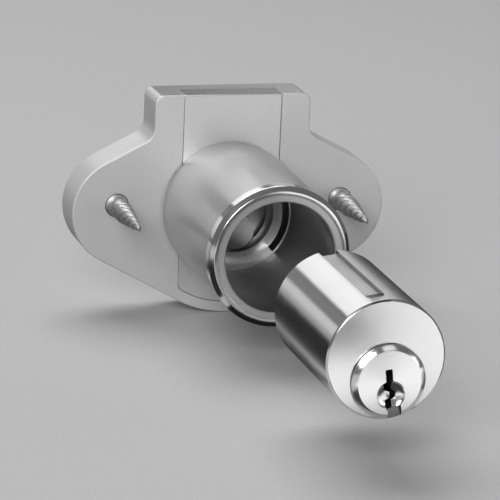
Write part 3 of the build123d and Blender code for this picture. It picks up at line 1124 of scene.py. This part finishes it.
class WoodScrews(Assembly):
    """The two wood screws, modelled once and copied."""

    body = Body.CASE
    size = ScrewSize()

    def build(self) -> None:
        """Builds both screws from one model."""
        low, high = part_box("wood_screw_left")
        first = self._screw(low, high)
        left, right = [self._middle(node) for node in ("wood_screw_left", "wood_screw_right")]
        second = first.copy()
        second.data = first.data.copy()
        second.name = "thread_screw_right"
        bpy.context.scene.collection.objects.link(second)
        second.location = (right - left) * Vector((1, 0, 1))
        Bench.settle(second)
        self.dress(first, "screw_steel", ["wood_screw_left"])
        self.dress(second, "screw_steel", ["wood_screw_right"])

    @staticmethod
    def _middle(node: str) -> Vector:
        """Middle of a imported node's box."""
        low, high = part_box(node)
        return (low + high) / 2

    def _screw(self, low: Vector, high: Vector) -> Piece:
        """One countersunk screw with a tapered, threaded point.

        Args:
            low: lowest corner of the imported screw.
            high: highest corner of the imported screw.

        Returns:
            The finished screw.
        """
        size = self.size
        x, z = centre = ((low.x + high.x) / 2, (low.z + high.z) / 2)
        head = (high.x - low.x) / 2
        taper = low.y + size.taper
        profile = [
            (high.y, head - size.head_edge),
            (high.y - size.head_edge, head),
            (high.y - size.head_height, size.shank),
            (size.shank_end, size.shank),
            (0.0, size.crest),
            (size.core_start, size.core),
            (taper, size.core),
            *((low.y + ahead, radius) for ahead, radius in size.tip),
        ]
        screw = Bench.turn("thread_screw_left", profile, centre, sides=48)
        arm, half, depth = size.recess
        for wide, tall in ((arm, half), (half, arm)):
            foot = Vector((x - wide, high.y - depth, z - tall))
            slot = Bench.box("slot", foot, Vector((x + wide, high.y + PAST, z + tall)))
            Bench.cut(screw, slot)
        Bench.ease(screw, size.edge)
        thread = self._thread(centre, low.y, taper)
        Bench.take(screw)
        thread.select_set(True)
        bpy.ops.object.join()
        return screw

    def _thread(self, centre: Pair, tip: float, taper: float) -> Piece:
        """Rounded ridge wound round the core, shrinking along the taper.

        Args:
            centre: x and z of the screw's axis.
            tip: y of the point.
            taper: y where the point starts to narrow.

        Returns:
            The closed ridge.
        """
        size = self.size
        y = size.core_start
        start = (centre[0] + size.crest - size.ridge, y, centre[1])
        Bench.clear()
        bpy.ops.mesh.primitive_circle_add(
            vertices=size.ridge_sides, radius=size.ridge, fill_type="NGON", location=start
        )
        ridge = Bench.name_new("ridge")
        Bench.edit(ridge)
        bpy.ops.transform.resize(value=(1.0, size.squash, 1.0), center_override=start)
        advance = size.pitch / size.steps
        scale = 1.0
        while y - advance > tip + size.runout:
            y -= advance
            about = (centre[0], y, centre[1])
            bpy.ops.mesh.extrude_region_move(TRANSFORM_OT_translate={"value": (0.0, -advance, 0.0)})
            bpy.ops.transform.rotate(
                value=-2 * math.pi / size.steps,
                orient_axis="Y",
                orient_type="GLOBAL",
                center_override=about,
            )
            left = min(1.0, (y - tip) / (taper - tip))
            share = size.point + (1 - size.point) * left
            bpy.ops.transform.resize(value=(share / scale,) * 3, center_override=about)
            scale = share
        Bench.close()
        Bench.take(ridge)
        bpy.ops.object.shade_smooth_by_angle(angle=math.radians(size.smooth))
        return ridge


@dataclass(frozen=True)
class ShellSize:
    """Sizes of the round cylinder's shell, modelled upright."""

    radius: float = 11.25 * MM
    rim: float = 0.35 * MM
    bore: float = 6.40 * MM
    neck: float = 3.25 * MM
    end_wall: float = 1.2 * MM
    head_seat: float = 7.13 * MM
    head_seat_depth: float = 0.4 * MM
    groove: float = 3.4 * MM
    groove_floor: float = 10.25 * MM
    groove_start: float = 2.3 * MM
    ramp_length: float = 4.6 * MM
    ramp_rise: float = 0.65 * MM
    seat: float = 3.9 * MM
    seat_floor: float = 9.25 * MM
    cover_gap: float = 0.02 * MM
    edge: float = 0.12 * MM
    skin: float = 0.08 * MM
    slack: float = 0.02 * MM
    sides: int = 192


class Cylinder(Assembly):
    """Round cylinder shell with its groove, and the strip over the springs."""

    body = Body.CYLINDER
    size = ShellSize()

    def build(self) -> None:
        """Builds the shell and the strip."""
        low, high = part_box("cylinder_shell")
        self.front, self.back = low.y, high.y
        shell = self.dress(self._shell(), "cylinder_plate", ["cylinder_shell"])
        # The groove's walls and ramp are toned dark: painted shade in the groove.
        self.patch(shell, "milled", self._in_groove)
        self.dress(self._cover(), "cover_strip", ["spring_cover"])

    def _in_groove(self, middle: Vector, normal: Vector) -> bool:
        """Tells the faces of the groove's walls and ramp.

        Args:
            middle: middle of a face.
            normal: its normal, not used.

        Returns:
            Whether the face is one of them.
        """
        size = self.size
        deep = math.hypot(middle.x, middle.z) < size.radius - size.skin
        return deep and abs(middle.x) < size.groove / 2 + size.slack and middle.z > size.seat_floor

    def _groove(self) -> Piece:
        """Cutter of the top groove, whose floor climbs towards its round front end.

        Returns:
            The cutter.
        """
        size = self.size
        start = self.front + size.groove_start
        heights = (size.groove_floor, size.radius + PAST)
        cutter = Bench.channel("groove", size.groove, (start, self.back + PAST), heights)
        foot = start + size.ramp_length
        low = size.groove_floor - 2 * PAST
        front, back = (-size.groove, start - PAST, low), (size.groove, foot, size.groove_floor)
        ramp = Bench.box("ramp", Vector(front), Vector(back))
        rise = size.ramp_rise * (size.ramp_length + PAST) / size.ramp_length
        Bench.pull(ramp, lambda at: at.z > low + PAST and at.y < foot - PAST, (0.0, 0.0, rise))
        Bench.combine(cutter, ramp, Boolean.CUT)
        return cutter

    def _shell(self) -> Piece:
        """Shell with the plug's bore, the groove, the strip's seat and the pin chambers.

        Returns:
            The shell, leant.
        """
        size = self.size
        front, back = self.front, self.back
        profile = [
            (front, size.radius - size.rim),
            (front + size.rim, size.radius),
            (back - size.rim, size.radius),
            (back, size.radius - size.rim),
        ]
        shell = Bench.turn("cylinder_body", profile, sides=size.sides)
        wall = back - size.end_wall
        bore = Bench.rod("bore", size.bore, from_plug(front - PAST), from_plug(wall), sides=128)
        Bench.cut(shell, bore, self._groove())
        Bench.bevel(shell, size.edge)
        ends = (front + size.groove_start, back + PAST)
        seat = Bench.channel("seat", size.seat, ends, (size.seat_floor, size.groove_floor))
        neck = Bench.rod("neck", size.neck, from_plug(wall - PAST), from_plug(wall + 3 * PAST))
        start, end = from_plug(front - PAST), from_plug(front + size.head_seat_depth)
        head_seat = Bench.rod("head_seat", size.head_seat, start, end, sides=128)
        Bench.cut(shell, seat, neck, head_seat)
        Bench.drill_chambers(shell, (size.seat_floor + size.groove_floor) / 2)
        Bench.shade(shell)
        return Bench.lean(shell)

    def _cover(self) -> Piece:
        """Strip in the groove's floor.

        Returns:
            The strip, leant.
        """
        size = self.size
        gap = size.cover_gap
        ends = (self.front + size.groove_start + gap, self.back - gap)
        heights = (size.seat_floor, size.groove_floor - gap)
        cover = Bench.channel("spring_strip", size.seat - 2 * gap, ends, heights)
        Bench.ease(cover, size.edge / 2)
        return Bench.lean(cover)


@dataclass(frozen=True)
class PlugSize:
    """Sizes of the plug, modelled upright.

    The keyway is a stack of levels: height over the plug's axis, left and right. The dimple's bowl
    has shares of its depth and of its radius.
    """

    head: float = 6.95 * MM
    head_length: float = 1.2 * MM
    bevel: float = 0.95 * MM
    bevel_drop: float = 0.6 * MM
    body: float = 6.35 * MM
    body_end: float = -73.35 * MM
    neck: float = 3.2 * MM
    clip_groove: float = 2.7 * MM
    clip_ends: Pair = (-72.05 * MM, -71.39 * MM)
    dog_start: float = -70.9 * MM
    dog_gap: float = 0.06 * MM
    keyway_end: float = -75.9 * MM
    keyway: Sequence[Triple] = (
        (2.5, -0.66, 0.66),
        (0.15, -0.66, 0.66),
        (-0.35, -1.12, 0.33),
        (-1.5, -1.12, 0.33),
        (-1.95, -0.07, 1.06),
        (-3.05, -0.07, 1.06),
        (-3.4, -1.12, 0.2),
        (-5.1, -1.12, 0.2),
    )
    dimple: float = 2.7 * MM
    dimple_drop: float = 2.4 * MM
    dimple_depth: float = 0.8 * MM
    bowl: Profile = ((-0.5, 1.0), (0.0, 1.0), (0.2, 0.97), (0.5, 0.85), (0.75, 0.62), (1.0, 0.34))
    notch: Pair = (-0.85 * MM, 1.75 * MM)
    notch_start: float = 4.6 * MM
    notch_floor: float = 0.3 * MM
    edge: float = 0.08 * MM
    clip_edge: float = 0.06 * MM
    slack: float = 0.05 * MM


class Plug(Assembly):
    """Turning plug with its keyway, and the clip at its back."""

    body = Body.PLUG
    size = PlugSize()

    def build(self) -> None:
        """Builds the plug and the clip."""
        plug = self.dress(self._plug(), "plug_plate", ["plug"])
        # The faces inside the notch are toned dark: painted shade in the notch.
        self.patch(plug, "milled", self._notch_test(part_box("plug")[0].y))
        clip = Bench.copy_of("plug_clip", "neck_clip")
        Bench.ease(clip, self.size.clip_edge)
        self.dress(clip, "spring_steel", ["plug_clip"])

    def _notch_test(self, front: float) -> FaceTest:
        """Makes the test for faces inside the notch at the foot of the head.

        Args:
            front: y of the head's face.

        Returns:
            The test, of a face's middle and normal.
        """
        size = self.size
        left, right = size.notch

        def inside(middle: Vector, normal: Vector) -> bool:
            """Tells the faces inside the notch.

            Args:
                middle: middle of a face.
                normal: its normal, not used.

            Returns:
                Whether the face is one of them.
            """
            across = left - size.slack < middle.x < right + size.slack
            below = middle.z < -PLUG_DROP - size.notch_start + size.slack
            return across and below and front + 2 * size.slack < middle.y < front + size.head_length

        return inside

    def _dimple(self, front: float) -> Piece:
        """Cutter of the round hollow that leads the key in.

        Args:
            front: y of the head's face.

        Returns:
            The cutter.
        """
        size = self.size
        depth, radius = size.dimple_depth, size.dimple
        profile = [(front + deep * depth, radius * wide) for deep, wide in size.bowl]
        return Bench.turn("dimple", profile, (0.0, -PLUG_DROP - size.dimple_drop), sides=64)

    def _plug(self) -> Piece:
        """Plug with its bevelled head, keyway, dimple, notch, pin chambers and half-moon tail.

        Returns:
            The plug, leant.
        """
        size = self.size
        low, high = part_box("plug")
        front, back = low.y, high.y
        seat = front + size.head_length
        clip_front, clip_back = size.clip_ends
        profile = [
            (front, size.head - size.bevel),
            (front + size.bevel_drop, size.head),
            (seat, size.head),
            (seat, size.body),
            (size.body_end, size.body),
            (size.body_end, size.neck),
            (clip_front, size.neck),
            (clip_front, size.clip_groove),
            (clip_back, size.clip_groove),
            (clip_back, size.neck),
            (back, size.neck),
        ]
        plug = Bench.turn("key_plug", profile, (0.0, -PLUG_DROP), sides=128)
        levels = [(-PLUG_DROP + z * MM, left * MM, right * MM) for z, left, right in size.keyway]
        keyway = Bench.stack("keyway", levels, (front - PAST, size.keyway_end))
        left, right = size.notch
        notch = Bench.box(
            "notch",
            from_plug(front - PAST, -size.head - PAST, left),
            from_plug(seat - size.notch_floor, -size.notch_start, right),
        )
        half_moon = Bench.box(
            "half_moon",
            from_plug(size.dog_start, -size.dog_gap, -size.head),
            from_plug(back + PAST, size.head, size.head),
        )
        Bench.cut(plug, self._dimple(front), keyway, notch, half_moon)
        Bench.bevel(plug, size.edge)
        Bench.drill_chambers(plug, -PLUG_DROP + size.body + PAST)
        Bench.shade(plug)
        return Bench.lean(plug)


@dataclass(frozen=True)
class DriverSize:
    """Sizes of the driver, modelled upright, and the edges of the crank and the bolt."""

    disc: float = 3.9 * MM
    disc_back: float = -2.65 * MM
    dog_back: float = -3.9 * MM
    dog_gap: float = 0.06 * MM
    spindle: float = 2.0 * MM
    spindle_end: float = 0.15 * MM
    square: float = 2.8 * MM
    hole: float = 0.9 * MM
    hole_end: float = -1.95 * MM
    edge: float = 0.10 * MM
    bolt_edge: float = 0.15 * MM
    crank_edge: float = 0.08 * MM


class BoltWork(Assembly):
    """Bolt, and the crank and driver that lift it."""

    body = Body.BOLT
    size = DriverSize()

    def build(self) -> None:
        """Builds the bolt, driver and crank with fine edges."""
        bolt = Bench.copy_of("bolt", "bolt_bar")
        Bench.ease(bolt, self.size.bolt_edge)
        self.dress(bolt, "bolt_steel", ["bolt"])
        crank = Bench.copy_of("crank", "crank_arm")
        Bench.ease(crank, self.size.crank_edge)
        # The crank and the driver are toned dark: painted shade deep in the lock.
        self.dress(crank, "bolt_steel", ["crank"], Body.DRIVER, finish="milled")
        driver = self.dress(self._driver(), "bolt_steel", ["driver"], Body.DRIVER, finish="milled")
        # The driver's front is toned darkest: painted shade at the bottom of the bore.
        self.patch(driver, "recess_painted_shade", lambda middle, normal: middle.y < 0.0)

    def _driver(self) -> Piece:
        """Driver disc with its half-moon dog, spindle and square.

        Returns:
            The driver, leant apart from its square.
        """
        size = self.size
        low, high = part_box("driver")
        profile = [
            (low.y, size.disc),
            (size.disc_back, size.disc),
            (size.disc_back, size.spindle),
            (size.spindle_end, size.spindle),
        ]
        driver = Bench.turn("driver_disc", profile, (0.0, -PLUG_DROP), sides=96)
        reach = 2 * size.disc
        below = Bench.box(
            "below",
            from_plug(low.y - PAST, -reach, -reach),
            from_plug(size.dog_back, size.dog_gap, reach),
        )
        Bench.cut(driver, below)
        Bench.bevel(driver, size.edge)
        Bench.lean(driver)
        x, z = PLUG_AXIS
        half = size.square / 2
        start = Vector((x - half, size.spindle_end - PAST, z - half))
        square = Bench.box("square", start, Vector((x + half, high.y, z + half)))
        Bench.combine(driver, square, Boolean.JOIN)
        bottom, mouth = Vector((x, size.hole_end, z)), Vector((x, high.y + PAST, z))
        Bench.cut(driver, Bench.rod("hole", size.hole, bottom, mouth, sides=24))
        Bench.shade(driver)
        return driver


# Studio

# Point that lights and boards look at, and the height of boards that lie just over the floor.
OBJECT_MIDDLE = (0.0, -0.05, 0.0)
BOARD_HEIGHT = -22.2 * MM


def facing(place: Triple, aim: Triple, forward: str) -> Euler:
    """Rotation that points the forward axis from a place at an aim."""
    return (Vector(aim) - Vector(place)).to_track_quat(forward, "Y").to_euler()


@dataclass(frozen=True)
class CameraPlace:
    """The photograph's view, as angles and distance from the point it looks at."""

    left: float = 16.535
    above: float = 15.537
    roll: float = -2.567
    distance: float = 682.493 * MM
    lens: float = 246.56
    sensor: float = 36.0
    nearest: float = 0.01
    target: Triple = (-3.986 * MM, -30.0 * MM, -0.5 * MM)

    def build(self) -> None:
        """Adds the scene's camera."""
        left, above, roll = (math.radians(angle) for angle in (self.left, self.above, self.roll))
        level = math.cos(above)
        back = Vector((-math.sin(left) * level, -math.cos(left) * level, math.sin(above)))
        right = Vector((math.cos(left), -math.sin(left), 0.0))
        up = back.cross(right)
        side = right * math.cos(roll) - up * math.sin(roll)
        head = right * math.sin(roll) + up * math.cos(roll)
        data = bpy.data.cameras.new("camera")
        data.lens = self.lens
        data.sensor_width = self.sensor
        data.clip_start = self.nearest
        camera = bpy.data.objects.new("camera", data)
        bpy.context.scene.collection.objects.link(camera)
        eye = Vector(self.target) + back * self.distance
        turn = Matrix((side, head, back)).transposed()
        camera.matrix_world = Matrix.Translation(eye) @ turn.to_4x4()
        bpy.context.scene.camera = camera


@dataclass(frozen=True)
class SoftLight:
    """One soft area light."""

    name: str
    place: Triple
    size: Pair
    power: float
    aim: Triple = OBJECT_MIDDLE

    def build(self) -> None:
        """Adds the light."""
        data = bpy.data.lights.new(self.name, "AREA")
        data.shape = "RECTANGLE"
        data.size, data.size_y = self.size
        data.energy = self.power
        light = bpy.data.objects.new(self.name, data)
        light.location = self.place
        light.rotation_euler = facing(self.place, self.aim, "-Z")
        bpy.context.scene.collection.objects.link(light)


@dataclass(frozen=True)
class Card:
    """Flat board beside the set that only shows in the metal's reflections."""

    name: str
    place: Triple
    size: Pair
    tone: float
    aim: Triple = OBJECT_MIDDLE

    def build(self) -> None:
        """Adds the board."""
        rotation = facing(self.place, self.aim, "Z")
        light_board(Bench.sheet(self.name, self.place, self.size, rotation), self.tone)


@dataclass(frozen=True)
class Sector:
    """Board behind the set, cut as a sector round the barrel's axis, for the round walls."""

    name: str
    start: float
    end: float
    tone: float
    y: float = 0.60
    inner: float = 0.22
    outer: float = 0.46
    sliver: float = MM
    step: float = 4.0

    def build(self) -> None:
        """Adds the sector: an edge is placed at its start angle and spun to its end."""
        middle = (self.inner + self.outer) / 2
        turn = math.radians(self.start)
        place = (middle * math.cos(turn), self.y, middle * math.sin(turn))
        size = (self.outer - self.inner, self.sliver)
        board = Bench.sheet(self.name, place, size, (0.0, -turn, 0.0))
        Bench.edit(board)
        bpy.ops.mesh.spin(
            steps=max(2, round((self.end - self.start) / self.step)),
            angle=math.radians(self.end - self.start),
            center=(0.0, self.y, 0.0),
            axis=(0.0, 1.0, 0.0),
        )
        Bench.close()
        light_board(board, self.tone)


def flat_card(name: str, middle: Pair, size: Pair, tone: float, lift: float = 0.0) -> Card:
    """Board that lies flat over the floor and looks straight up.

    Args:
        name: name of the board.
        middle: x and y of its middle.
        size: its width and depth.
        tone: its brightness.
        lift: how far it lies over the other flat boards.

    Returns:
        The board, still to be built.
    """
    return Card(name, (*middle, BOARD_HEIGHT + lift), size, tone, (*middle, 1.0))


def light_board(board: Piece, tone: float) -> None:
    """Makes a board that shines plainly and shows in reflections alone.

    Args:
        board: the board.
        tone: its brightness.
    """
    made = bpy.data.materials.new(board.name)
    tree = NodeTree(made)
    tree.fill(tree.shader, Base_Color=BLACK, Roughness=1.0, Specular_IOR_Level=0.0)
    tree.fill(tree.shader, Emission_Color=WHITE, Emission_Strength=tone)
    board.data.materials.append(made)
    board.visible_camera = False
    board.visible_shadow = False
    board.visible_diffuse = False
    board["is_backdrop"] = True


@dataclass
class Studio:
    """Pale floor, soft lights, boards and the world."""

    floor_size: float = 6.0
    floor_gap: float = 0.1 * MM
    floor_tone: float = 0.62
    floor_contrast: float = 0.03
    floor_grain: float = 0.7 * MM
    floor_depth: float = 0.02 * MM
    world_level: float = 0.13
    lights: list[SoftLight] = field(
        default_factory=lambda: [
            SoftLight("overhead", (-0.10, 0.30, 0.75), (0.8, 0.5), 4.0),
            SoftLight("front_left", (-0.50, -0.95, 0.52), (0.55, 0.55), 6.8),
            SoftLight("front_right", (0.75, -0.60, 0.15), (0.4, 0.25), 0.7),
        ]
    )
    boards: list[Card | Sector] = field(
        default_factory=lambda: [
            Sector("top_board", 76, 128, 1.20),
            Sector("left_gap", 135, 150, 0.22),
            Sector("left_board", 154, 172, 0.75),
            Sector("left_edge", 172, 184, 0.45),
            Sector("right_board", 25, 60, 0.60),
            flat_card("front_board", (0.42, -0.526), (0.94, 0.768), 1.1),
            flat_card("front_flag", (-0.0115, -0.4375), (0.087, 0.515), 0.02, lift=0.1 * MM),
            Card("above_board", (0.20, -0.62, 0.60), (0.32, 0.32), 0.9, (0.0, -0.106, -0.004)),
            flat_card("side_flag", (0.10, -0.085), (0.12, 0.05), 0.10),
            flat_card("near_flag", (0.01, -0.126), (0.08, 0.030), 0.04),
            flat_card("left_flag", (-0.5215, 0.77), (1.0, 1.66), 0.02),
            flat_card("middle_flag", (0.010, -0.044), (0.051, 0.048), 0.01),
            flat_card("right_flag", (0.53, 0.77), (1.0, 1.66), 0.03),
        ]
    )

    def build(self) -> None:
        """Adds the floor, the lights, the boards and the world."""
        self._floor()
        self._world()
        for thing in (*self.lights, *self.boards):
            thing.build()
        bpy.context.scene.view_settings.view_transform = "Standard"

    def _floor(self) -> None:
        """Wide flat floor with a fine paper grain."""
        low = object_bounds()[0]
        place = (0.0, 0.0, low.z - self.floor_gap)
        floor = Bench.sheet("floor", place, (self.floor_size, self.floor_size))
        made = bpy.data.materials.new("floor_paper")
        tree = NodeTree(made)
        grain = tree.noise(tree.place((0.0, 0.0)), self.floor_grain, detail=3.0)
        dark = grey(self.floor_tone * (1 - self.floor_contrast))
        light = grey(self.floor_tone * (1 + self.floor_contrast))
        bumped = tree.bump(grain, self.floor_depth)
        tree.fill(tree.shader, Base_Color=tree.ramp(grain, dark, light), Normal=bumped)
        tree.fill(tree.shader, Roughness=0.9, Specular_IOR_Level=0.0)
        floor.data.materials.append(made)
        floor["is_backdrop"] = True

    def _world(self) -> None:
        """Even grey surroundings."""
        world = bpy.data.worlds.new("studio")
        world.use_nodes = True
        background = world.node_tree.nodes["Background"]
        background.inputs["Color"].default_value = WHITE
        background.inputs["Strength"].default_value = self.world_level
        bpy.context.scene.world = world


def paint_nodes(materials: dict[str, Material]) -> None:
    """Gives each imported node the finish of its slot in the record.

    Args:
        materials: the finished materials by slot.
    """
    slots = {part["node"]: part["material_slot"] for part in frame["record"]["subparts"]}
    for name, node in frame["nodes"].items():
        for slot in node.material_slots:
            slot.material = materials[slots[name]]


def main() -> None:
    """Builds the dressed lock and its studio."""
    logging.basicConfig(level=logging.INFO, format="%(message)s")
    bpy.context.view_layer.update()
    CameraPlace().build()
    materials = {slot: finish.material() for slot, finish in FINISHES.items()}
    paint_nodes(materials)
    for kind in (Housing, WoodScrews, Cylinder, Plug, BoltWork):
        assembly = kind(materials)
        assembly.build()
        assembly.report()
    Studio().build()


if __name__ == "__main__":
    main()
